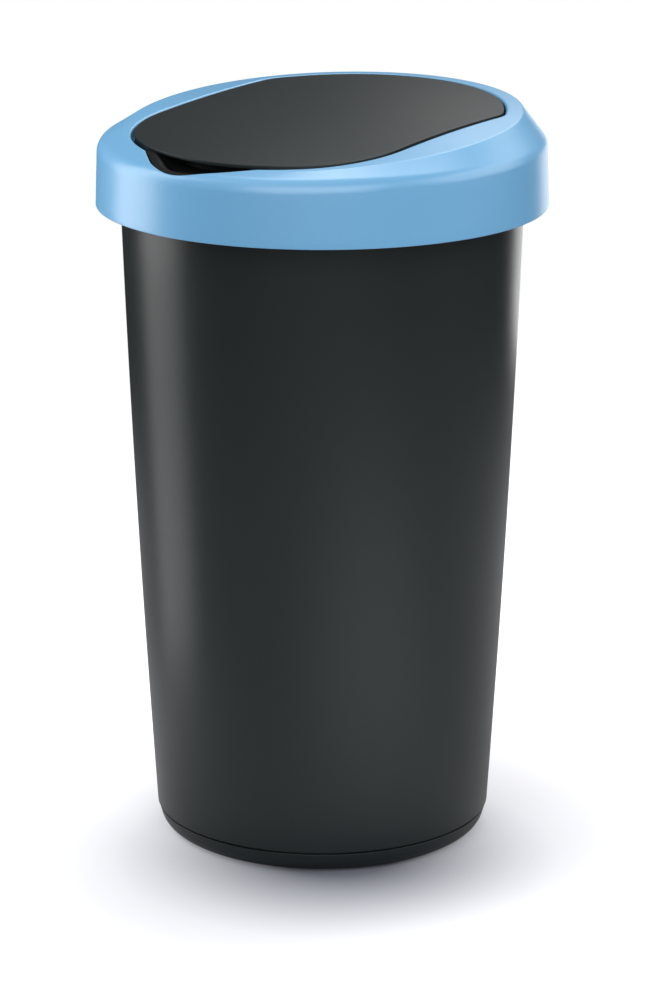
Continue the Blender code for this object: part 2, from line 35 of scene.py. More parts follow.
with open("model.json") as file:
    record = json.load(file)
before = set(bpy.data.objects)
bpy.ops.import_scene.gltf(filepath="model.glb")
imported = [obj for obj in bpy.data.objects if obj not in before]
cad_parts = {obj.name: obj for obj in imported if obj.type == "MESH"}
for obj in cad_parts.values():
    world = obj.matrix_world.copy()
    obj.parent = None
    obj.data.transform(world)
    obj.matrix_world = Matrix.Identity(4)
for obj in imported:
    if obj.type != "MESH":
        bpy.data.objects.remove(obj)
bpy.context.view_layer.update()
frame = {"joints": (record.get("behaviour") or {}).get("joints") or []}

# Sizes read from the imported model
LID_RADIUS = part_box("lid_ring")[1].x
SKIRT_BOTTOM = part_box("lid_ring")[0].z
RIM_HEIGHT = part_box("bin_body")[1].z
BEAD_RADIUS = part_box("bin_body")[1].x
HINGE = Vector(next(joint for joint in frame["joints"] if joint["name"] == "flap_swing")["pos_m"])

# Lid ring, heights measured from the skirt's lower edge
LID_WALL = 0.0025
SKIRT_DRAFT = 0.0019
SHOULDER_RISE = 0.0559
SHOULDER_FILLET = 0.0130
SEAT_RISE = 0.0472
SEAT_WIDTH = 0.0070
SEAT_THICKNESS = 0.0040
CHAMFER_RUN = 0.0220
CREASE_FILLET = 0.0028
CREASE_FILLET_REACH = 0.0060
DOME_CENTRE_RISE = 0.0835
DOME_REAR_RISE = 0.0875
DOME_FRONT_RISE = 0.0584
DOME_SIDE_RISE = 0.0753
LIP_ROUNDING = 0.0010              # lower edge of the skirt
SEAT_BEVEL = 0.0004
SEAT_NOTCH_GAP = 0.0002            # ledge to the opening's edge, where the notch cuts into it
NOTCH_WALL_GAP = 0.0010            # wall round the notch to the inside of the skirt

# Opening in the lid ring
SIDE_BAND = 0.0362
REAR_BAND = 0.0152
FRONT_BAND = 0.0067
FRONT_CORNER_RADIUS = 0.1010
REAR_CORNER_RADIUS = 0.0300
OPENING_WALL = 0.0022
OPENING_ROUNDING = 0.0021          # upper edge of the opening
WALL_END_ROUNDING = 0.0006         # lower edge of the wall round the opening
SHORTER_WALL_START = 0.1835        # radii between which that wall rises to the seat ledge,
SHORTER_WALL_END = 0.1860          # so that it clears the bin's rim at the notch
NOTCH_EDGE_BAND = 0.0063
NOTCH_RADIUS = 0.0622
NOTCH_FLANK = math.radians(39.6)
NOTCH_CORNER_RADIUS = 0.0030

# Flap
SIDE_GAP = 0.0039
REAR_GAP = 0.0018
FRONT_GAP = 0.0081
FLAP_FRONT_BEND = 0.1800
FLAP_CORNER_RADIUS = 0.0820
FLAP_DROP = 0.0000                 # the flap is flush with the lid's surface
FLAP_THICKNESS = 0.0020
FLAP_RIM_DEPTH = 0.0100
FLAP_RIM_WALL = 0.0020
FLAP_ROUNDING = 0.0006
FLAP_RIM_ROUNDING = 0.0005
RIM_TRAY_GAP = 0.0001              # the flap's rim to the finger tray that passes under it
RIM_RISE_WIDTH = 0.0040            # beside the tray, where the rim regains its depth

# Hinge and stop lugs
STUB_RADIUS = 0.0030
STUB_CLEARANCE = 0.0003
STUB_ROUNDING = 0.0004
BOSS_WALL = 0.0022
BOSS_LENGTH = 0.0048
BOSS_SINK = 0.0005                 # how far a boss reaches into the wall that carries it
BOSS_ROUNDING = 0.0003
SLOT_OVERRUN = 0.0030              # the cut for a stub past the wall's inner face
SLOT_OVERRUN_OUTSIDE = 0.0002
CUTTER_ROUNDING = 0.00001
LUG_TOP_DROP = 0.0111
LUG_THICKNESS = 0.0019
LUG_REACH = 0.0100
LUG_WIDTH = 0.0200
LUG_ROUNDING = 0.0005
WALL_BELOW_LUG_TOP = 0.0022

# Finger tray
TRAY_GAP = 0.0018
TRAY_HALF_WIDTH = 0.0680
TRAY_BACK_REACH = 0.0215
TRAY_THICKNESS = 0.0018
TRAY_DEPTH = 0.0110
TRAY_FLANGE_SHARE = 0.14
TRAY_FLOOR_SHARE = 0.50
TRAY_TOP_DROP = 0.0031
TRAY_CORNER_RADIUS = 0.0040
TRAY_ROUNDING = 0.0005

# Bin body
BIN_WALL = 0.0025
BEAD_WIDTH = 0.0030
BEAD_HEIGHT = 0.0050
COLLAR_HEIGHT = 0.0357
FLARE_RISE = 0.0120
FLARE_RUN = 0.0140
WALL_FOOT_RADIUS = 0.1514
WALL_BOW = 0.0023
PLINTH_HEIGHT = 0.0204
PLINTH_STEP = 0.0010
PLINTH_TAPER = 0.0050
PLINTH_FILLET = 0.0150
GROOVE_DEPTH = 0.0034              # fine groove between the wall and the plinth
GROOVE_HEIGHT = 0.0021
FOOT_RING_WIDTH = 0.0150
FOOT_RING_HEIGHT = 0.0030
RIM_ROUNDING = 0.0010
BEAD_ROUNDING = 0.0006
COLLAR_ROUNDING = 0.0040
COLLAR_INNER_ROUNDING = 0.0020
FLARE_ROUNDING = 0.0060
WALL_FOOT_ROUNDING = 0.0004
GROOVE_ROUNDING = 0.0002
PLINTH_EDGE_ROUNDING = 0.0003
FOOT_RING_ROUNDING = 0.0008

# Fineness of the meshes
OUTLINE_STEP = 0.0022              # along the long edges of the opening and the flap
MAX_TURN = math.radians(9.0)       # between two points of an arc
BODY_SEGMENTS = 288
WALL_STEPS = 28
ARC_STEPS = 6
DOME_STEPS = 30
DOME_FIRST_STEP = 8                # the lid's line starts here, inside the opening
CREASE_STEPS = 10
SHOULDER_STEPS = 16
REAR_CORNER_STEPS = 10
NOTCH_CORNER_STEPS = 9
OPENING_ROUNDING_STEPS = 7
BORE_STEPS = 24
STUB_SEGMENTS = 28
LUG_GRID = (8, 14)
LUG_ROUNDING_STEPS = 3
FLAP_RINGS = 26
FLAP_RING_BEND = 1.5
TRAY_RINGS = 30
TRAY_FIRST_RING = 3
TOP_ROWS = (14, 8, 9, 12, 8)       # on the dome, crease, sloped band, shoulder and skirt
LINING_ROWS = (8, 4, 4, 6, 6)      # the same on the lid's underside
TOP_ROW_BEND = 1.6                 # the first rows lie closer together beside the opening
OUTER_WALL_SHARES = (0.35, 0.7)    # rows down and up the two sides of the opening's wall
INNER_WALL_SHARES = (0.3, 0.6, 0.9)
SMALL_ROUND_SHARE = 0.3            # place of the middle point of a rounding with three points
LEAST_DOME = 0.0030                # shortest run of dome before the rows close up
LEAST_REACH = 0.00002              # from a corner to where its arc starts
MERGE_DISTANCE = 0.000001
SHARP_ANGLE = math.radians(40)
TRAY_SHARP_ANGLE = math.radians(50)

# Worked out from the sizes above
SHOULDER_RADIUS = LID_RADIUS - SKIRT_DRAFT
CREASE_RADIUS = SHOULDER_RADIUS - CHAMFER_RUN
OPENING_HALF_WIDTH = CREASE_RADIUS - SIDE_BAND
OPENING_REAR_RADIUS = CREASE_RADIUS - REAR_BAND
OPENING_FRONT_RADIUS = CREASE_RADIUS - FRONT_BAND
FLAP_HALF_WIDTH = OPENING_HALF_WIDTH - SIDE_GAP
FLAP_REAR_RADIUS = OPENING_REAR_RADIUS - REAR_GAP
FLAP_FRONT_REACH = OPENING_FRONT_RADIUS - FRONT_GAP
FLAP_FRONT_CENTRE = FLAP_FRONT_BEND - FLAP_FRONT_REACH
SKIRT_INNER_AT_SEAT = LID_RADIUS - SKIRT_DRAFT * SEAT_RISE / SHOULDER_RISE - LID_WALL
NOTCH_WALL_LIMIT = SKIRT_INNER_AT_SEAT - NOTCH_WALL_GAP
SEAT_BOTTOM = SKIRT_BOTTOM + SEAT_RISE
OPENING_WALL_DEPTH = LUG_TOP_DROP + WALL_BELOW_LUG_TOP
BORE_RADIUS = STUB_RADIUS + STUB_CLEARANCE
HALF_SLOT = STUB_RADIUS - STUB_CLEARANCE
COLLAR_RADIUS = BEAD_RADIUS - BEAD_WIDTH
WALL_TOP_RADIUS = COLLAR_RADIUS - FLARE_RUN
WALL_TOP_HEIGHT = RIM_HEIGHT - COLLAR_HEIGHT - FLARE_RISE


# Lines

def smooth_step(value, low, high):
    share = min(max((value - low) / (high - low), 0.0), 1.0)
    return share * share * (3 - 2 * share)


def mix(start, end, share):
    return start + (end - start) * share


def fillet(before, corner, after, radius, steps=ARC_STEPS):
    """Round a corner of a plane line with an arc, and return the arc's points."""
    corner = Vector(corner)
    leg_in = (Vector(before) - corner).normalized()
    leg_out = (Vector(after) - corner).normalized()
    half = leg_in.angle(leg_out) / 2
    reach = radius / math.tan(half)
    if reach < LEAST_REACH:
        return bent_line(corner, leg_in, leg_out, steps)
    centre = corner + (leg_in + leg_out).normalized() * (radius / math.sin(half))
    start = corner + leg_in * reach - centre
    end = corner + leg_out * reach - centre
    turn = math.atan2(start.x * end.y - start.y * end.x, start.dot(end))
    points = []
    for step in range(steps + 1):
        spoke = Matrix.Rotation(turn * step / steps, 2) @ start
        points.append(tuple(centre + spoke))
    return points


def bent_line(corner, leg_in, leg_out, steps):
    """Points just beside a nearly straight corner, where an arc would shrink to nothing."""
    points = []
    for step in range(steps + 1):
        along = 2 * step / steps - 1
        leg = leg_out if along > 0 else leg_in
        points.append(tuple(corner + leg * abs(along) * LEAST_REACH))
    return points


def rounded_line(corners):
    """A line through (radius, height, rounding) corners, each rounded by its own arc."""
    points = [corners[0][:2]]
    for before, corner, after in zip(corners, corners[1:], corners[2:]):
        if corner[2]:
            points += fillet(before[:2], corner[:2], after[:2], corner[2])
        else:
            points.append(corner[:2])
    return points + [corners[-1][:2]]


def offset_line(line, distance, closed=False):
    """Move a line to its right-hand side as it is walked, with mitred corners."""
    moved = []
    last = len(line) - 1
    for i, point in enumerate(line):
        before = Vector(point) - Vector(line[i - 1 if closed else max(i - 1, 0)])
        after = Vector(line[(i + 1) % len(line) if closed else min(i + 1, last)]) - Vector(point)
        before = (before if before.length else after).normalized()
        after = (after if after.length else before).normalized()
        normal = Vector((before.y + after.y, -before.x - after.x)).normalized()
        cosine = normal.dot(Vector((after.y, -after.x)))
        moved.append(tuple(Vector(point) + normal * distance / cosine))
    return moved


def plan_normals(loop):
    """Outward direction at each point of a loop that runs anticlockwise."""
    outer = offset_line(loop, 1.0, closed=True)
    return [(Vector(far) - Vector(near)).normalized() for near, far in zip(loop, outer)]


def arc_points(centre, radius, start, end):
    """Points on an arc, close enough for its length and its turn, both ends included."""
    turn = abs(end - start)
    steps = max(2, math.ceil(turn / MAX_TURN), math.ceil(radius * turn / OUTLINE_STEP))
    angles = [mix(start, end, step / steps) for step in range(steps + 1)]
    return [(centre[0] + radius * math.cos(a), centre[1] + radius * math.sin(a)) for a in angles]


def straight_points(start, end):
    """Points between the two ends, which are left out."""
    length = (Vector(end) - Vector(start)).length
    steps = max(1, math.ceil(length / OUTLINE_STEP))
    return [tuple(Vector(start).lerp(Vector(end), step / steps)) for step in range(1, steps)]


def around(place, angle):
    """The point at a (radius, height) place, turned about Z."""
    return place[0] * math.cos(angle), place[0] * math.sin(angle), place[1]


class Section:
    """A line of (radius, height) points that can be read at any length along it."""

    def __init__(self, points):
        self.points = points
        self.lengths = [0.0]
        for one, two in zip(points, points[1:]):
            self.lengths.append(self.lengths[-1] + (Vector(two) - Vector(one)).length)

    def at(self, length):
        length = min(max(length, 0.0), self.lengths[-1])
        for i in range(len(self.points) - 1):
            if length <= self.lengths[i + 1]:
                break
        span = self.lengths[i + 1] - self.lengths[i]
        share = (length - self.lengths[i]) / span if span else 0.0
        return tuple(Vector(self.points[i]).lerp(Vector(self.points[i + 1]), share))

    def length_at_radius(self, radius):
        for i in range(len(self.points) - 1):
            inner, outer = self.points[i][0], self.points[i + 1][0]
            if inner <= radius <= outer:
                share = (radius - inner) / (outer - inner) if outer > inner else 0.0
                return mix(self.lengths[i], self.lengths[i + 1], share)
        return self.lengths[-1]


# Lid surface

def dome_height(x, y):
    tilt = (DOME_REAR_RISE - DOME_FRONT_RISE) / (2 * CREASE_RADIUS)
    bow_y = (DOME_CENTRE_RISE - (DOME_REAR_RISE + DOME_FRONT_RISE) / 2) / CREASE_RADIUS ** 2
    bow_x = (DOME_CENTRE_RISE - DOME_SIDE_RISE) / CREASE_RADIUS ** 2
    return SKIRT_BOTTOM + DOME_CENTRE_RISE + tilt * y - bow_y * y * y - bow_x * x * x


def lid_section(angle, lowered=0.0):
    """Outer line of the lid at one angle, or the line at a depth under it.

    It runs from near the centre over the dome, the crease, the sloped band, the shoulder
    and the skirt. Also returns the places along it where each of these ends.
    """
    def on_dome(radius):
        return radius, dome_height(radius * math.cos(angle), radius * math.sin(angle))

    crease = on_dome(CREASE_RADIUS)
    before_crease = on_dome(CREASE_RADIUS - CREASE_FILLET_REACH)
    shoulder = (SHOULDER_RADIUS, SKIRT_BOTTOM + SHOULDER_RISE)
    skirt_end = (LID_RADIUS, SKIRT_BOTTOM)
    crease_arc = fillet(before_crease, crease, shoulder, CREASE_FILLET, CREASE_STEPS)
    shoulder_arc = fillet(crease, shoulder, skirt_end, SHOULDER_FILLET, SHOULDER_STEPS)
    dome_end = crease_arc[0][0]
    dome = [on_dome(dome_end * step / DOME_STEPS) for step in range(DOME_FIRST_STEP, DOME_STEPS)]
    points = dome + crease_arc + shoulder_arc + [skirt_end]
    if lowered:
        points = offset_line(points, lowered)
    section = Section(points)
    crease_start = len(dome)
    crease_end = crease_start + CREASE_STEPS
    shoulder_end = crease_end + 1 + SHOULDER_STEPS
    ends = [section.lengths[i] for i in (crease_start, crease_end, crease_end + 1, shoulder_end)]
    return section, ends + [section.lengths[-1]]


def lid_height(x, y):
    section = lid_section(math.atan2(y, x))[0]
    return section.at(section.length_at_radius(math.hypot(x, y)))[1]


# Plan outlines, anticlockwise seen from above

def front_corner(half_width, front_centre, front_radius, corner_radius):
    """Centre of the round front corner, tangent to the straight side and to the front arc."""
    across = half_width - corner_radius
    along = math.sqrt((front_radius - corner_radius) ** 2 - across ** 2)
    return across, front_centre - along


def panel_half(half_width, front_centre, front_radius, front_start, corner_radius, rear_radius,
               rear_corner_radius):
    """Right half of the opening or flap, from the front arc's given angle to the rear middle."""
    corner = front_corner(half_width, front_centre, front_radius, corner_radius)
    front_end = math.atan2(corner[1] - front_centre, corner[0])
    points = arc_points((0.0, front_centre), front_radius, front_start, front_end)
    points += arc_points(corner, corner_radius, front_end, 0.0)[1:]
    rear_corner = (half_width, math.sqrt(rear_radius ** 2 - half_width ** 2))
    rear_angle = math.atan2(rear_corner[1], rear_corner[0])
    leaving = (rear_corner[0] - math.sin(rear_angle), rear_corner[1] + math.cos(rear_angle))
    bend = fillet(points[-1], rear_corner, leaving, rear_corner_radius, REAR_CORNER_STEPS)
    rear_start = math.atan2(bend[-1][1], bend[-1][0])
    points += straight_points(points[-1], bend[0]) + bend
    return points + arc_points((0.0, 0.0), rear_radius, rear_start, math.pi / 2)[1:]


def mirrored(half):
    """Close a right half, which runs from the front middle to the rear middle, with its mirror."""
    return half + [(-x, y) for x, y in reversed(half[1:-1])]


def notch_half(edge_gap):
    """Right half of the finger notch from its front middle to where its flank leaves the notch."""
    centre = (0.0, -(SHOULDER_RADIUS - NOTCH_EDGE_BAND - NOTCH_RADIUS))
    arc = arc_points(centre, NOTCH_RADIUS - edge_gap, -math.pi / 2, -math.pi / 2 + NOTCH_FLANK)
    start = Vector(arc[-1])
    direction = Vector((math.cos(NOTCH_FLANK), math.sin(NOTCH_FLANK)))
    target = OPENING_FRONT_RADIUS - edge_gap
    half_b = start.dot(direction)
    length = -half_b - math.sqrt(half_b ** 2 - (start.length_squared - target ** 2))
    return arc, tuple(start + direction * length)


def opening_outline():
    arc, flank_end = notch_half(0.0)
    front_start = math.atan2(flank_end[1], flank_end[0])
    panel = panel_half(OPENING_HALF_WIDTH, 0.0, OPENING_FRONT_RADIUS, front_start,
                       FRONT_CORNER_RADIUS, OPENING_REAR_RADIUS, REAR_CORNER_RADIUS)
    corner = fillet(arc[-1], flank_end, panel[1], NOTCH_CORNER_RADIUS, NOTCH_CORNER_STEPS)
    rest = [point for point in panel[1:] if point[1] > corner[-1][1]]
    return mirrored(arc + straight_points(arc[-1], corner[0]) + corner + rest)


def flap_outline():
    return mirrored(panel_half(FLAP_HALF_WIDTH, FLAP_FRONT_CENTRE, FLAP_FRONT_BEND, -math.pi / 2,
                               FLAP_CORNER_RADIUS, FLAP_REAR_RADIUS, REAR_CORNER_RADIUS - REAR_GAP))


def tray_outline():
    arc = notch_half(TRAY_GAP)[0]
    reach = math.sqrt((OPENING_FRONT_RADIUS - TRAY_GAP) ** 2 - TRAY_HALF_WIDTH ** 2)
    front_corner_point = (TRAY_HALF_WIDTH, -reach)
    back_radius = FLAP_FRONT_REACH - TRAY_BACK_REACH
    back_start = -math.acos(TRAY_HALF_WIDTH / back_radius)
    back_corner_point = (TRAY_HALF_WIDTH, back_radius * math.sin(back_start))
    back = arc_points((0.0, 0.0), back_radius, back_start, -math.pi / 2)
    corner = fillet(arc[-1], front_corner_point, back_corner_point, TRAY_CORNER_RADIUS)
    back_corner = fillet(front_corner_point, back_corner_point, back[2], TRAY_CORNER_RADIUS)
    rest = [point for point in back if point[0] < back_corner[-1][0]]
    return mirrored(arc + straight_points(arc[-1], corner[0]) + corner
                    + straight_points(corner[-1], back_corner[0]) + back_corner + rest)


# Mesh building

def loft(work, rings, close_ends):
    """Join closed rings of points to a skin. Rings follow each other, and each runs anticlockwise.

    close_ends caps the first and last ring with a fan, otherwise the last joins the first.
    """
    rows = [[work.verts.new(point) for point in ring] for ring in rings]
    count = len(rows[0])
    pairs = list(zip(rows, rows[1:]))
    if not close_ends:
        pairs.append((rows[-1], rows[0]))
    for upper, lower in pairs:
        for i in range(count):
            j = (i + 1) % count
            work.faces.new((upper[i], lower[i], lower[j], upper[j]))
    if close_ends:
        for row, flip in ((rows[0], False), (rows[-1], True)):
            middle = sum((vert.co for vert in row), Vector()) / count
            centre = work.verts.new(middle)
            for i in range(count):
                j = (i + 1) % count
                work.faces.new((centre, row[j], row[i]) if flip else (centre, row[i], row[j]))


def add_object(name, data):
    item = bpy.data.objects.new(name, data)
    bpy.context.scene.collection.objects.link(item)
    return item


def add_mesh(name, work):
    """Make the object from the work mesh, with outward faces and smooth shading."""
    bmesh.ops.remove_doubles(work, verts=work.verts, dist=MERGE_DISTANCE)
    bmesh.ops.recalc_face_normals(work, faces=work.faces)
    for face in work.faces:
        face.smooth = True
    mesh = bpy.data.meshes.new(name)
    work.to_mesh(mesh)
    work.free()
    return add_object(name, mesh)


def turned(work, profile, segments):
    """Turn a closed (radius, height) line about Z. Points on the axis become one."""
    rings = []
    for step in range(segments):
        angle = 2 * math.pi * step / segments
        rings.append([work.verts.new(around(place, angle)) for place in profile])
    for here, there in zip(rings, rings[1:] + rings[:1]):
        for i in range(len(profile)):
            j = (i + 1) % len(profile)
            if profile[i][0] == 0.0 and profile[j][0] == 0.0:
                continue
            work.faces.new((here[i], there[i], there[j], here[j]))


def prism_along_x(work, outline, start, end, rounding):
    """A prism of a (y, z) outline along X with rounded ends."""
    near = offset_line(outline, -rounding, closed=True)
    steps = ((start, near), (start + rounding, outline), (end - rounding, outline), (end, near))
    rings = [[(x, y, z) for y, z in line] for x, line in steps]
    rows = [[work.verts.new(point) for point in ring] for ring in rings]
    count = len(outline)
    for upper, lower in zip(rows, rows[1:]):
        for i in range(count):
            j = (i + 1) % count
            work.faces.new((upper[i], upper[j], lower[j], lower[i]))
    work.faces.new(list(reversed(rows[0])))
    work.faces.new(rows[-1])


# Bin body

def bowed_wall(inset, foot_rounding):
    """The tapered wall from its top to its foot, moved inwards by the inset."""
    points = []
    for step in range(WALL_STEPS + 1):
        share = step / WALL_STEPS
        radius = mix(WALL_TOP_RADIUS, WALL_FOOT_RADIUS, share) + 4 * WALL_BOW * share * (1 - share)
        points.append((radius - inset, mix(WALL_TOP_HEIGHT, PLINTH_HEIGHT, share), 0.0))
    points[0] = (*points[0][:2], FLARE_ROUNDING)
    points[-1] = (*points[-1][:2], foot_rounding)
    return points


def make_bin_body():
    plinth_top = (WALL_FOOT_RADIUS - PLINTH_STEP, PLINTH_HEIGHT)
    foot = (plinth_top[0] - PLINTH_TAPER, 0.0)
    foot_radius = fillet(plinth_top, foot, (0.0, 0.0), PLINTH_FILLET)[-1][0]
    ring_inner = foot_radius - FOOT_RING_WIDTH
    outer = [(BEAD_RADIUS - BEAD_WIDTH / 2, RIM_HEIGHT, 0.0),
             (BEAD_RADIUS, RIM_HEIGHT, RIM_ROUNDING),
             (BEAD_RADIUS, RIM_HEIGHT - BEAD_HEIGHT, BEAD_ROUNDING),
             (COLLAR_RADIUS, RIM_HEIGHT - BEAD_HEIGHT - BEAD_WIDTH / 2, BEAD_ROUNDING),
             (COLLAR_RADIUS, RIM_HEIGHT - COLLAR_HEIGHT, COLLAR_ROUNDING)]
    outer += bowed_wall(0.0, WALL_FOOT_ROUNDING)
    groove_radius = WALL_FOOT_RADIUS - GROOVE_DEPTH
    outer += [(groove_radius, PLINTH_HEIGHT, GROOVE_ROUNDING),
              (groove_radius, PLINTH_HEIGHT - GROOVE_HEIGHT, GROOVE_ROUNDING),
              (plinth_top[0], PLINTH_HEIGHT - GROOVE_HEIGHT, PLINTH_EDGE_ROUNDING),
              (*foot, PLINTH_FILLET),
              (ring_inner, 0.0, FOOT_RING_ROUNDING),
              (ring_inner - FOOT_RING_HEIGHT, FOOT_RING_HEIGHT, FOOT_RING_ROUNDING),
              (0.0, FOOT_RING_HEIGHT, 0.0)]
    floor = FOOT_RING_HEIGHT + BIN_WALL
    inside = [(0.0, floor, 0.0),
              (foot[0] - BIN_WALL, floor, PLINTH_FILLET - BIN_WALL)]
    inside += reversed(bowed_wall(BIN_WALL, 0.0))
    inside += [(COLLAR_RADIUS - BIN_WALL, RIM_HEIGHT - COLLAR_HEIGHT, COLLAR_INNER_ROUNDING),
               (COLLAR_RADIUS - BIN_WALL, RIM_HEIGHT, RIM_ROUNDING),
               (BEAD_RADIUS - BEAD_WIDTH / 2, RIM_HEIGHT, 0.0)]
    work = bmesh.new()
    turned(work, rounded_line(inside)[:-1] + rounded_line(outer), BODY_SEGMENTS)
    return add_mesh("bin_shell", work)


# Lid ring

def row_lengths(start, ends, rows, first_bend):
    """Places along a section, from a start that may lie beyond some of the section's parts.

    A first bend above 1 brings the first rows closer together at the start.
    """
    last = ends[-1]
    scale = min(1.0, (last - start) / (last - (ends[0] - LEAST_DOME)))
    stops = [start] + [last - (last - end) * scale for end in ends]
    lengths = [start]
    for low, high, count in zip(stops, stops[1:], rows):
        for step in range(1, count + 1):
            share = step / count
            if low == start:
                share = share ** first_bend
            lengths.append(mix(low, high, share))
    return lengths


def skirt_lip(above):
    """Rounded lower edge of the skirt, from the outside to the inside."""
    corner = (LID_RADIUS, SKIRT_BOTTOM)
    inner = (LID_RADIUS - LID_WALL, SKIRT_BOTTOM)
    inside_shoulder = (inner[0] - SKIRT_DRAFT, inner[1] + SHOULDER_RISE)
    return (fillet(above, corner, inner, LIP_ROUNDING)
            + fillet(corner, inner, inside_shoulder, LIP_ROUNDING / 2))


def lid_underside(angle, wall_outer):
    """Points on the lid's underside, from the wall round the opening to the skirt's lip."""
    lining, ends = lid_section(angle, LID_WALL)
    ends[-1] -= LIP_ROUNDING
    lengths = row_lengths(lining.length_at_radius(wall_outer.length), ends, LINING_ROWS, 1.0)
    wall_angle = math.atan2(wall_outer.y, wall_outer.x)
    points = []
    for length in lengths:
        share = (lengths[-1] - length) / (lengths[-1] - lengths[0])
        turn = mix(angle, wall_angle, smooth_step(share, 0.5, 1.0))
        points.append(around(lining.at(length), turn))
    return points


def opening_wall(point, wall_outer, edge_height, under, edge):
    """Points from the lid's underside down the wall round the opening and up to its edge."""
    deep = min(edge_height, dome_height(*point)) - OPENING_WALL_DEPTH
    shallow = SEAT_BOTTOM + SEAT_THICKNESS / 2
    shorter = smooth_step(point.length, SHORTER_WALL_START, SHORTER_WALL_END)
    end_height = mix(deep, shallow, shorter) + WALL_END_ROUNDING
    inner_end = Vector((*point, end_height))
    outer_end = Vector((*wall_outer, end_height))
    across = (wall_outer - point).normalized().to_3d() * WALL_END_ROUNDING
    down = Vector((0.0, 0.0, -WALL_END_ROUNDING))
    aside, below = across * SMALL_ROUND_SHARE, down * (1 - SMALL_ROUND_SHARE)
    points = [Vector(under).lerp(outer_end, share) for share in OUTER_WALL_SHARES]
    points += [outer_end, outer_end - aside + below, outer_end - across + down]
    points += [inner_end + across + down, inner_end + aside + below, inner_end]
    points += [inner_end.lerp(Vector(edge), share) for share in INNER_WALL_SHARES]
    return [tuple(place) for place in points]


def make_ring_shell(work):
    """The ring as one skin, from columns that run once round its section."""
    outline = opening_outline()
    columns = []
    for point, normal in zip(outline, plan_normals(outline)):
        point = Vector(point)
        edge_height = lid_height(*point)
        beside = point + normal * 2 * OPENING_ROUNDING
        rounding = fillet((2 * OPENING_ROUNDING, lid_height(*beside)), (0.0, edge_height),
                          (0.0, edge_height - LID_WALL), OPENING_ROUNDING, OPENING_ROUNDING_STEPS)
        edge = [(*(point + normal * out), height) for out, height in reversed(rounding[1:])]
        start = point + normal * rounding[0][0]
        angle = math.atan2(start.y, start.x)
        section, ends = lid_section(angle)
        lengths = row_lengths(section.length_at_radius(start.length), ends, TOP_ROWS, TOP_ROW_BEND)
        top = [section.at(length) for length in lengths[:-1]]
        wall_outer = point + normal * min(OPENING_WALL, NOTCH_WALL_LIMIT - point.length)
        under = lid_underside(angle, wall_outer)
        column = edge + [around(place, angle) for place in top + skirt_lip(top[-1])]
        column += reversed(under)
        column += opening_wall(point, wall_outer, edge_height, under[0], edge[0])
        columns.append(column)
    loft(work, list(zip(*columns)), close_ends=False)


def make_seat(work):
    """The ledge that rests on the bin's rim. It gives way to the finger notch at the front."""
    outer = SKIRT_INNER_AT_SEAT + LID_WALL / 4
    top = SEAT_BOTTOM + SEAT_THICKNESS
    columns = []
    edge = sorted((math.atan2(y, x), math.hypot(x, y)) for x, y in opening_outline())
    for angle, opening in edge:
        inner = max(SKIRT_INNER_AT_SEAT - SEAT_WIDTH, opening + SEAT_NOTCH_GAP)
        line = [(inner, SEAT_BOTTOM + SEAT_BEVEL), (inner, top - SEAT_BEVEL),
                (inner + SEAT_BEVEL, top), (outer, top),
                (outer, SEAT_BOTTOM), (inner + SEAT_BEVEL, SEAT_BOTTOM)]
        columns.append([around(place, angle) for place in line])
    loft(work, list(zip(*columns)), close_ends=False)


def at_hinge(points):
    """Move (y, z) points from the origin to the hinge's axis."""
    return [(HINGE.y + y, HINGE.z + z) for y, z in points]


def slotted_arc(radius):
    """Nearly a full circle as (y, z), open below by the width of the stub's slot."""
    start = math.asin(HALF_SLOT / radius)
    turns = [mix(start, 2 * math.pi - start, step / BORE_STEPS) for step in range(BORE_STEPS + 1)]
    return [(radius * math.sin(turn), -radius * math.cos(turn)) for turn in turns]


def slotted_tube():
    """End view of a hinge boss: a tube, open below so that the stub snaps in."""
    return at_hinge(slotted_arc(BORE_RADIUS + BOSS_WALL) + slotted_arc(BORE_RADIUS)[::-1])


def stub_path_outline():
    """End view of the cut through the opening's wall: the bore and the slot below it."""
    slot_end = [(-HALF_SLOT, -OPENING_WALL_DEPTH), (HALF_SLOT, -OPENING_WALL_DEPTH)]
    return at_hinge(slotted_arc(BORE_RADIUS) + slot_end)


def both_sides(work, build):
    """Build on the right side and again, mirrored, on the left."""
    for side in (1, -1):
        part = bmesh.new()
        build(part)
        if side < 0:
            bmesh.ops.scale(part, vec=(-1.0, 1.0, 1.0), verts=part.verts)
        bmesh.ops.recalc_face_normals(part, faces=part.faces)
        mesh = bpy.data.meshes.new("half")
        part.to_mesh(mesh)
        part.free()
        work.from_mesh(mesh)
        bpy.data.meshes.remove(mesh)


def build_boss(work):
    """Hinge boss on the outside of the wall round the opening."""
    start = OPENING_HALF_WIDTH + OPENING_WALL - BOSS_SINK
    end = OPENING_HALF_WIDTH + OPENING_WALL / 2 + BOSS_LENGTH
    prism_along_x(work, slotted_tube(), start, end, BOSS_ROUNDING)


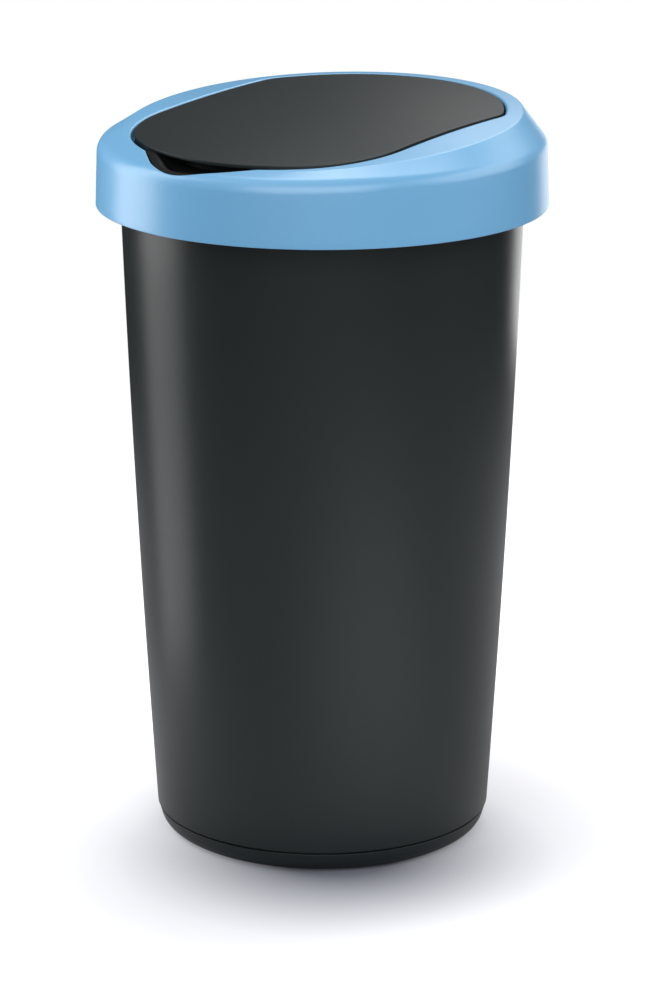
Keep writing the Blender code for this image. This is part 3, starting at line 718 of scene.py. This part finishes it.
def build_lug(work):
    """Stop lug at the opening's front corner, which follows the dome."""
    corner = front_corner(OPENING_HALF_WIDTH, 0.0, OPENING_FRONT_RADIUS, FRONT_CORNER_RADIUS)
    turn = math.atan2(corner[1], corner[0]) / 2
    outward = Vector((math.cos(turn), math.sin(turn)))
    edge = Vector(corner) + outward * FRONT_CORNER_RADIUS
    middle = edge - outward * (LUG_REACH - OPENING_WALL) / 2
    bmesh.ops.create_grid(work, x_segments=LUG_GRID[0], y_segments=LUG_GRID[1], size=0.5)
    lower = bmesh.ops.extrude_face_region(work, geom=list(work.faces))["geom"]
    for vert in (item for item in lower if isinstance(item, bmesh.types.BMVert)):
        vert.co.z = -1.0
    bmesh.ops.scale(work, vec=(LUG_REACH, LUG_WIDTH, LUG_THICKNESS), verts=work.verts)
    sharp = [e for e in work.edges if len(e.link_faces) == 2 and e.calc_face_angle(0.0) > 1.0]
    bmesh.ops.bevel(work, geom=sharp, offset=LUG_ROUNDING, segments=LUG_ROUNDING_STEPS,
                    affect='EDGES', profile=0.5)
    bmesh.ops.rotate(work, matrix=Matrix.Rotation(turn, 3, 'Z'), verts=work.verts)
    for vert in work.verts:
        x = vert.co.x + middle.x
        y = vert.co.y + middle.y
        vert.co = (x, y, dome_height(x, y) - LUG_TOP_DROP + vert.co.z)


def cut_stub_paths(ring):
    """Cut the slots for the flap's stubs through the wall round the opening."""
    start = OPENING_HALF_WIDTH - SLOT_OVERRUN
    end = OPENING_HALF_WIDTH + OPENING_WALL + SLOT_OVERRUN_OUTSIDE
    outline = stub_path_outline()
    work = bmesh.new()
    both_sides(work, lambda part: prism_along_x(part, outline, start, end, CUTTER_ROUNDING))
    cutter = add_mesh("stub_paths", work)
    modifier = ring.modifiers.new("stub_paths", 'BOOLEAN')
    modifier.operation = 'DIFFERENCE'
    modifier.object = cutter
    evaluated = ring.evaluated_get(bpy.context.evaluated_depsgraph_get())
    mesh = bpy.data.meshes.new_from_object(evaluated)
    ring.modifiers.clear()
    ring.data = mesh
    bpy.data.objects.remove(cutter, do_unlink=True)


def make_lid_ring():
    work = bmesh.new()
    make_ring_shell(work)
    ring = add_mesh("lid_ring_fine", work)
    cut_stub_paths(ring)
    work = bmesh.new()
    make_seat(work)
    both_sides(work, build_boss)
    both_sides(work, build_lug)
    bmesh.ops.recalc_face_normals(work, faces=work.faces)
    work.from_mesh(ring.data)
    for face in work.faces:
        face.smooth = True
    work.to_mesh(ring.data)
    work.free()
    ring.data.set_sharp_from_angle(angle=SHARP_ANGLE)
    return ring


# Flap and tray

def towards(points, centre, share):
    """Plan points moved to a share of their way out from the centre."""
    return [(mix(centre[0], x, share), mix(centre[1], y, share)) for x, y in points]


def rounded_panel(work, outline, top_drop, under_drop, end_drop, wall, rounding, end_rounding,
                  centre, shares, sink):
    """A panel on the dome with a turned-down rim, as one skin.

    end_drop gives the rim's lower end at each outline point. sink adds depth at a share of
    the way out from the centre.
    """
    normals = plan_normals(outline)

    def inset(distance):
        return [(x - n.x * distance, y - n.y * distance) for (x, y), n in zip(outline, normals)]

    quarter = [math.pi / 2 * step / ARC_STEPS for step in range(ARC_STEPS + 1)]
    first = inset(rounding)
    rings = [[(x, y, dome_height(x, y) - top_drop - sink(share))
              for x, y in towards(first, centre, share)] for share in shares]
    for angle in quarter[1:]:
        ring = inset(rounding * (1 - math.sin(angle)))
        rings.append([(x, y, dome_height(x, y) - top_drop - rounding * (1 - math.cos(angle)))
                      for x, y in ring])
    heights = [dome_height(x, y) for x, y in outline]
    ends = [height - end_drop(x, y) for (x, y), height in zip(outline, heights)]
    starts = [point[2] for point in rings[-1]]
    for share in (0.5, 1.0):
        rings.append([(x, y, mix(start, end + end_rounding, share))
                      for (x, y), start, end in zip(outline, starts, ends)])
    beside = end_rounding * SMALL_ROUND_SHARE
    round_end = [(beside, SMALL_ROUND_SHARE), (end_rounding, 0.0), (wall - end_rounding, 0.0),
                 (wall - beside, SMALL_ROUND_SHARE), (wall, 1.0)]
    for distance, lift in round_end:
        rings.append([(x, y, end + end_rounding * lift)
                      for (x, y), end in zip(inset(distance), ends)])
    inner = inset(wall)
    for share in reversed(shares):
        rings.append([(x, y, dome_height(x, y) - under_drop - sink(share))
                      for x, y in towards(inner, centre, share)])
    loft(work, rings, close_ends=True)


def spread_shares(count, bend):
    """Shares from near the centre to the edge, closer together towards the edge."""
    return [1.0 - (1.0 - step / count) ** bend for step in range(1, count)] + [1.0]


def build_stub(work):
    """Hinge stub on the flap's side, which turns in the boss under the lid."""
    turns = [2 * math.pi * step / STUB_SEGMENTS for step in range(STUB_SEGMENTS)]
    circle = at_hinge([(STUB_RADIUS * math.cos(t), STUB_RADIUS * math.sin(t)) for t in turns])
    prism_along_x(work, circle, FLAP_HALF_WIDTH - FLAP_RIM_WALL / 2,
                  OPENING_HALF_WIDTH + BOSS_LENGTH, STUB_ROUNDING)


def make_flap():
    tray_cut = TRAY_HALF_WIDTH + TRAY_GAP / 2
    shallow = TRAY_TOP_DROP - FLAP_DROP - RIM_TRAY_GAP

    def rim_end(x, y):
        """The rim gives way to the finger tray, which passes under the front edge."""
        share = smooth_step(abs(x), tray_cut, tray_cut + RIM_RISE_WIDTH) if y < 0 else 1.0
        return FLAP_DROP + mix(shallow, FLAP_RIM_DEPTH, share)

    work = bmesh.new()
    rounded_panel(work, flap_outline(), FLAP_DROP, FLAP_DROP + FLAP_THICKNESS, rim_end,
                  FLAP_RIM_WALL, FLAP_ROUNDING, FLAP_RIM_ROUNDING, (0.0, 0.0),
                  spread_shares(FLAP_RINGS, FLAP_RING_BEND), lambda share: 0.0)
    both_sides(work, build_stub)
    flap = add_mesh("flap_fine", work)
    flap.data.set_sharp_from_angle(angle=SHARP_ANGLE)
    return flap


def make_tray():
    outline = tray_outline()
    front = min(y for _, y in outline)
    back = max(y for _, y in outline)
    blend_width = 1.0 - TRAY_FLANGE_SHARE - TRAY_FLOOR_SHARE

    def sink(share):
        return TRAY_DEPTH * smooth_step(1.0 - TRAY_FLANGE_SHARE - share, 0.0, blend_width)

    shares = [step / TRAY_RINGS for step in range(TRAY_FIRST_RING, TRAY_RINGS + 1)]
    work = bmesh.new()
    rounded_panel(work, outline, TRAY_TOP_DROP, TRAY_TOP_DROP + TRAY_THICKNESS,
                  lambda x, y: TRAY_TOP_DROP + TRAY_THICKNESS, 2 * TRAY_ROUNDING, TRAY_ROUNDING,
                  TRAY_ROUNDING / 2, (0.0, (front + back) / 2), shares, sink)
    tray = add_mesh("finger_tray_fine", work)
    tray.data.set_sharp_from_angle(angle=TRAY_SHARP_ANGLE)
    return tray


# Plastics

CHARCOAL = (0.0128, 0.0180, 0.0186)
# the charcoal made darker for the finger tray: painted shade of the finger recess
TRAY_SHADED_CHARCOAL = (0.0045, 0.0050, 0.0055)
LIGHT_BLUE = (0.178, 0.450, 0.735)
TINT_SPREAD = 0.025                # share by which the colour varies both ways
GRAIN_STRENGTH = 0.35
FLOW_STRENGTH = 0.25
FLOW_DEPTH = 0.0004
TINT_NOISE = (5.0, 2.0)            # scale per metre and detail, as in the next three
GLOSS_NOISE = (9.0, 3.0)
FLOW_NOISE = (14.0, 1.0)
GRAIN_NOISE = (1600.0, 2.0)


def moulded_plastic(name, colour, roughness, unevenness, grain_depth, sheen):
    """Satin moulded plastic: fine spark-eroded grain, slight flow marks and uneven gloss."""
    material = bpy.data.materials.new(name)
    material.use_nodes = True
    tree = material.node_tree
    nodes = tree.nodes
    shader = nodes["Principled BSDF"]
    shader.inputs["Roughness"].default_value = roughness
    shader.inputs["Specular IOR Level"].default_value = sheen
    place = nodes.new("ShaderNodeTexCoord")

    def noise(scale, detail):
        texture = nodes.new("ShaderNodeTexNoise")
        texture.inputs["Scale"].default_value = scale
        texture.inputs["Detail"].default_value = detail
        tree.links.new(place.outputs["Object"], texture.inputs["Vector"])
        return texture.outputs["Fac"]

    def relief(pattern, strength, depth):
        bump = nodes.new("ShaderNodeBump")
        bump.inputs["Strength"].default_value = strength
        bump.inputs["Distance"].default_value = depth
        tree.links.new(noise(*pattern), bump.inputs["Height"])
        return bump

    gloss = nodes.new("ShaderNodeMapRange")
    gloss.inputs["To Min"].default_value = roughness - unevenness
    gloss.inputs["To Max"].default_value = roughness + unevenness
    tree.links.new(noise(*GLOSS_NOISE), gloss.inputs["Value"])
    tree.links.new(gloss.outputs["Result"], shader.inputs["Roughness"])

    tint = nodes.new("ShaderNodeMix")
    tint.data_type = 'RGBA'
    tint.inputs["A"].default_value = (*[(1 - TINT_SPREAD) * value for value in colour], 1.0)
    tint.inputs["B"].default_value = (*[(1 + TINT_SPREAD) * value for value in colour], 1.0)
    tree.links.new(noise(*TINT_NOISE), tint.inputs["Factor"])
    tree.links.new(tint.outputs["Result"], shader.inputs["Base Color"])

    grain = relief(GRAIN_NOISE, GRAIN_STRENGTH, grain_depth)
    flow = relief(FLOW_NOISE, FLOW_STRENGTH, FLOW_DEPTH)
    tree.links.new(flow.outputs["Normal"], grain.inputs["Normal"])
    tree.links.new(grain.outputs["Normal"], shader.inputs["Normal"])
    return material


body = make_bin_body()
ring = make_lid_ring()
flap = make_flap()
tray = make_tray()

# Piece, body, node, slot, colour, roughness, its unevenness, grain depth and sheen
LOOKS = ((body, "bin", "bin_body", "bin_plastic", CHARCOAL, 0.31, 0.02, 0.00012, 0.50),
         (ring, "lid", "lid_ring", "lid_plastic", LIGHT_BLUE, 0.31, 0.02, 0.00010, 0.80),
         (flap, "flap", "flap_panel", "flap_plastic", CHARCOAL, 0.42, 0.02, 0.00012, 0.28),
         # the finger tray's darker charcoal is painted shade of the recess
         (tray, "flap", "finger_tray", "tray_plastic", TRAY_SHADED_CHARCOAL, 0.55, 0.03, 0.00012, 0.10))
for piece, rider, node, slot, *looks in LOOKS:
    piece.data.materials.clear()
    piece.data.materials.append(moulded_plastic(slot, *looks))
    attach(piece, rider)
    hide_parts(node)


# Studio

CAMERA_TURN = math.radians(41.25)
CAMERA_REACH = 3.332
CAMERA_HEIGHT = 1.267
CAMERA_PITCH = 0.2818
FOCAL_LENGTH = 138.3
SENSOR_WIDTH = 36.0
LENS_SHIFT = 0.0011
SIGHT_REACH = 200.0
WHITE = (1.0, 1.0, 1.0)
WORLD_LIGHT = 0.08
SPOT_SOFTNESS = 0.15
LEFT_PANEL_TURN = -93.0
LEFT_PANEL_REACH = 0.55
LEFT_PANEL_WIDTH = 0.30
LEFT_PANELS = (("left_panel", 0.46, 1.18, 2.2),        # name, low, high and power
               ("left_middle_panel", 0.34, 0.46, 0.16),
               ("left_low_panel", 0.01, 0.34, 0.40))
FLOOR_SIZE = 60.0
FLOOR_ROUGHNESS = 0.9
# Painted shadow: the floor's colour and its camera-only glow are lower round the bin's foot, on top
# of the real shadows the lamps cast.
SHADOW_SHIFT = 0.100               # the painted soft shadow's middle lies in front of the bin's,
SHADOW_TURN = 7.0                  # turned a little to the camera's right, in degrees
FLOOR_GREY = (0.46, 0.46, 0.475)
# painted shadow: the floor's colour is darker and bluish near the bin's foot
CONTACT_SHADOW_GREY = (0.150, 0.158, 0.196)
CONTACT_SHADOW_REACH = (0.050, 0.20)      # painted contact shadow: the floor's colour grows from the shadow grey to its own here
FAR_GREY = (0.06, 0.06, 0.062)     # the floor's colour beyond the sheet that the bin stands on
SHEET_EDGE = (1.00, 1.75)          # where the sheet starts to darken and where it ends
SHADOW_GLOW = (0.02, 0.39)         # the floor's glow, lowered as painted shadow, at the bin's foot and in the thin shadow
SHADOW_REACH = (0.055, 0.165)
WHITE_REACH = (0.165, 0.45)        # from there the glow grows to full white
# bluish tint of the glow in the painted shadow
SHADOW_TINT = (0.935, 0.94, 1.0)
LOOK_AT = Vector((0.0, 0.0, 0.33))
LID_TOP = Vector((0.0, 0.0, 0.62))


def studio_direction(turn_deg):
    """Plan direction from the bin, turned from the camera's side towards the picture's right."""
    angle = CAMERA_TURN + math.radians(turn_deg)
    return Vector((math.sin(angle), -math.cos(angle), 0.0))


def hang_lamp(name, lamp, turn_deg, reach, height, target):
    """Hang a lamp beside or over the bin and aim it at the target."""
    item = add_object(name, lamp)
    item.location = studio_direction(turn_deg) * reach + Vector((0.0, 0.0, height))
    item.rotation_euler = (target - item.location).to_track_quat('-Z', 'Y').to_euler()
    return item


def area_lamp(name, turn_deg, reach, height, size, power, target=LOOK_AT):
    """A soft box that faces the target, out of the camera's sight."""
    lamp = bpy.data.lights.new(name, 'AREA')
    lamp.shape = 'RECTANGLE'
    lamp.size, lamp.size_y = size
    lamp.energy = power
    hang_lamp(name, lamp, turn_deg, reach, height, target).visible_camera = False


def left_panel(name, low, high, power):
    """An upright lit panel beside the bin, which gives the long highlight down its wall."""
    middle = (low + high) / 2
    area_lamp(name, LEFT_PANEL_TURN, LEFT_PANEL_REACH, middle, (LEFT_PANEL_WIDTH, high - low),
              power, Vector((0.0, 0.0, middle)))


def floor_spot(name, turn_deg, reach, height, target_turn_deg, target_reach, cone_deg, power):
    """A spot with a soft edge that lights the floor, which the wall then mirrors."""
    lamp = bpy.data.lights.new(name, 'SPOT')
    lamp.spot_size = math.radians(cone_deg)
    lamp.spot_blend = 1.0
    lamp.shadow_soft_size = SPOT_SOFTNESS
    lamp.energy = power
    target = studio_direction(target_turn_deg) * target_reach
    hang_lamp(name, lamp, turn_deg, reach, height, target)


def pale_world():
    """White to the camera, and a faint light on everything else."""
    world = bpy.data.worlds.new("pale_studio")
    bpy.context.scene.world = world
    world.use_nodes = True
    tree = world.node_tree
    tree.nodes.clear()
    shades = []
    for strength in (WORLD_LIGHT, 1.0):
        shade = tree.nodes.new("ShaderNodeBackground")
        shade.inputs["Strength"].default_value = strength
        shade.inputs["Color"].default_value = (*WHITE, 1.0)
        shades.append(shade)
    path = tree.nodes.new("ShaderNodeLightPath")
    seen = tree.nodes.new("ShaderNodeMath")
    seen.operation = 'MAXIMUM'
    tree.links.new(path.outputs["Is Camera Ray"], seen.inputs[0])
    tree.links.new(path.outputs["Is Transmission Ray"], seen.inputs[1])
    choice = tree.nodes.new("ShaderNodeMixShader")
    tree.links.new(seen.outputs["Value"], choice.inputs["Fac"])
    tree.links.new(shades[0].outputs["Background"], choice.inputs[1])
    tree.links.new(shades[1].outputs["Background"], choice.inputs[2])
    output = tree.nodes.new("ShaderNodeOutputWorld")
    tree.links.new(choice.outputs["Shader"], output.inputs["Surface"])


def floor_material():
    """A floor that keeps the bin's shadow and adds a painted one at its foot. Its own glow, for the
    camera only, makes it white.
    """
    material = bpy.data.materials.new("studio_white")
    material.use_nodes = True
    tree = material.node_tree
    shader = tree.nodes["Principled BSDF"]
    shader.inputs["Roughness"].default_value = FLOOR_ROUGHNESS
    shader.inputs["Specular IOR Level"].default_value = 0.0
    glow = tree.nodes.new("ShaderNodeEmission")
    place = tree.nodes.new("ShaderNodeTexCoord")
    reach = tree.nodes.new("ShaderNodeVectorMath")
    reach.operation = 'LENGTH'
    tree.links.new(place.outputs["Object"], reach.inputs[0])

    def by_reach(reaches, low, high):
        spread = tree.nodes.new("ShaderNodeMapRange")
        spread.inputs["From Min"].default_value = reaches[0]
        spread.inputs["From Max"].default_value = reaches[1]
        spread.inputs["To Min"].default_value = low
        spread.inputs["To Max"].default_value = high
        tree.links.new(reach.outputs["Value"], spread.inputs["Value"])
        return spread.outputs["Result"]

    def blend(reaches, near, far):
        mixed = tree.nodes.new("ShaderNodeMix")
        mixed.data_type = 'RGBA'
        mixed.inputs["A"].default_value = (*near, 1.0)
        mixed.inputs["B"].default_value = (*far, 1.0)
        tree.links.new(by_reach(reaches, 0.0, 1.0), mixed.inputs["Factor"])
        return mixed

    def joined(operation, first, second):
        node = tree.nodes.new("ShaderNodeMath")
        node.operation = operation
        tree.links.new(first, node.inputs[0])
        tree.links.new(second, node.inputs[1])
        return node.outputs["Value"]

    # painted contact shadow in the floor's colour near the foot
    painted_contact_shadow = blend(CONTACT_SHADOW_REACH, CONTACT_SHADOW_GREY, FLOOR_GREY)
    sheet = blend(SHEET_EDGE, FLOOR_GREY, FAR_GREY)
    tree.links.new(painted_contact_shadow.outputs["Result"], sheet.inputs["A"])
    tree.links.new(sheet.outputs["Result"], shader.inputs["Base Color"])
    # bluish tint of the glow in the painted shadow, white further out
    tint = blend(WHITE_REACH, SHADOW_TINT, WHITE)
    tree.links.new(tint.outputs["Result"], glow.inputs["Color"])
    path = tree.nodes.new("ShaderNodeLightPath")
    # the camera-only glow, lowered near the foot as painted shadow
    glow_with_painted_shadow = joined('ADD', by_reach(SHADOW_REACH, *SHADOW_GLOW),
                           by_reach(WHITE_REACH, 0.0, 1.0 - SHADOW_GLOW[1]))
    seen_glow = joined('MULTIPLY', path.outputs["Is Camera Ray"], glow_with_painted_shadow)
    tree.links.new(seen_glow, glow.inputs["Strength"])
    both = tree.nodes.new("ShaderNodeAddShader")
    tree.links.new(shader.outputs["BSDF"], both.inputs[0])
    tree.links.new(glow.outputs["Emission"], both.inputs[1])
    tree.links.new(both.outputs["Shader"], tree.nodes["Material Output"].inputs["Surface"])
    return material


def pale_floor():
    """The floor under the bin. Its painted soft shadow is set off from the bin's middle."""
    work = bmesh.new()
    bmesh.ops.create_grid(work, x_segments=1, y_segments=1, size=FLOOR_SIZE / 2)
    mesh = bpy.data.meshes.new("studio_floor")
    work.to_mesh(mesh)
    work.free()
    floor = add_object("studio_floor", mesh)
    floor.data.materials.append(floor_material())
    # moving the floor centres its painted shadow in front of the bin
    floor.location = studio_direction(SHADOW_TURN) * SHADOW_SHIFT


def photo_camera():
    lens = bpy.data.cameras.new("photo_camera")
    lens.sensor_width = SENSOR_WIDTH
    lens.lens = FOCAL_LENGTH
    lens.shift_x = LENS_SHIFT
    lens.clip_end = SIGHT_REACH
    camera = add_object("photo_camera", lens)
    camera.location = studio_direction(0.0) * CAMERA_REACH + Vector((0.0, 0.0, CAMERA_HEIGHT))
    camera.rotation_euler = (math.pi / 2 - CAMERA_PITCH, 0.0, CAMERA_TURN)
    bpy.context.scene.camera = camera


pale_world()
pale_floor()
area_lamp("front_softbox", turn_deg=-6.0, reach=1.9, height=1.5, size=(2.4, 1.8), power=34.0)
area_lamp("right_softbox", turn_deg=85.0, reach=1.9, height=1.35, size=(2.2, 1.7), power=23.0)
area_lamp("overhead_softbox", turn_deg=-60.0, reach=0.60, height=2.30, size=(1.5, 1.5), power=5.0,
          target=LID_TOP)
area_lamp("top_rear_softbox", turn_deg=162.0, reach=1.09, height=2.30, size=(1.5, 0.8), power=14.5,
          target=LID_TOP)
area_lamp("crease_light", turn_deg=158.0, reach=1.53, height=1.90, size=(0.6, 0.3), power=2.0,
          target=LID_TOP)
area_lamp("right_upper_softbox", turn_deg=130.0, reach=1.68, height=1.71, size=(0.8, 0.7),
          power=2.4, target=LID_TOP)
for panel in LEFT_PANELS:
    left_panel(*panel)
area_lamp("right_rear_softbox", turn_deg=158.0, reach=1.8, height=1.52, size=(1.2, 0.55),
          power=3.4, target=LID_TOP)
area_lamp("right_rear_panel", turn_deg=157.0, reach=1.8, height=0.31, size=(1.2, 0.62), power=4.6)
floor_spot("front_floor_light", turn_deg=35.0, reach=1.4, height=1.9, target_turn_deg=27.0,
           target_reach=0.72, cone_deg=30.0, power=190.0)
floor_spot("left_floor_light", turn_deg=-80.0, reach=1.0, height=1.2, target_turn_deg=-88.0,
           target_reach=0.36, cone_deg=34.0, power=24.0)
photo_camera()
bpy.context.scene.view_settings.view_transform = 'Standard'
